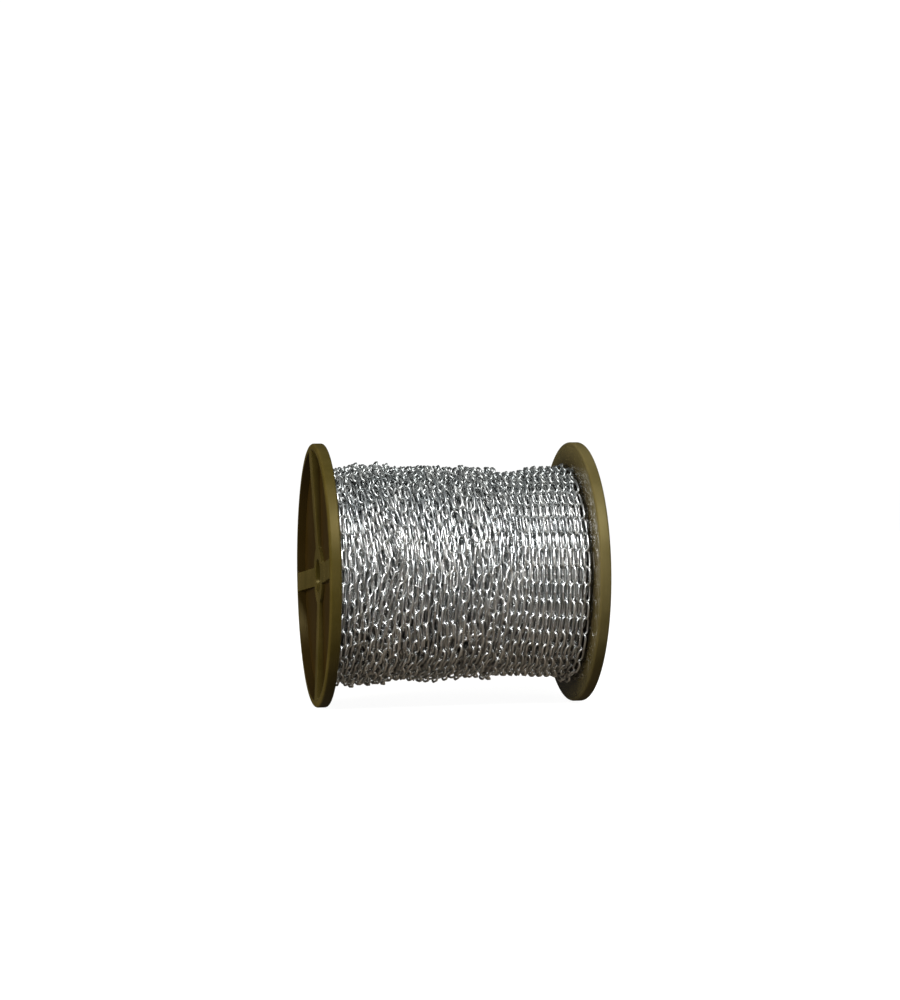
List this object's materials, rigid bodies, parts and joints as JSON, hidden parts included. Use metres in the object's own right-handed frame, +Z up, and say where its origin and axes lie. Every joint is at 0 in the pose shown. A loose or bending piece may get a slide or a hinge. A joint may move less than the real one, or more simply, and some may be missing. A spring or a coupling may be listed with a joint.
{
  "type": "reel of steel chain",
  "caption": "Flanged reel wound full with straight-link zinc-plated steel chain, lying on its two rims, with a shaft bore through it.",
  "frame": {"origin": "on the floor under the middle of the reel, at the lowest flat of the two rims", "axes": "+X along the reel's axis, from the left flange to the right flange; +Z up; the picture looks along +Y, turned so that the left flange's outer face shows"},
  "size_m": [0.2636, 0.2538, 0.2538],
  "materials": {
    "flange_moulding": "glossy olive-brown moulding with rubbed rims",
    "core_fibre": "plain brown winding tube",
    "zinc_plated_steel": "bright zinc plating"
  },
  "bodies": {
    "root": {"left_flange": "flange_moulding", "right_flange": "flange_moulding", "core_tube": "core_fibre", "wound_chain": "zinc_plated_steel"}
  },
  "joints": []
}
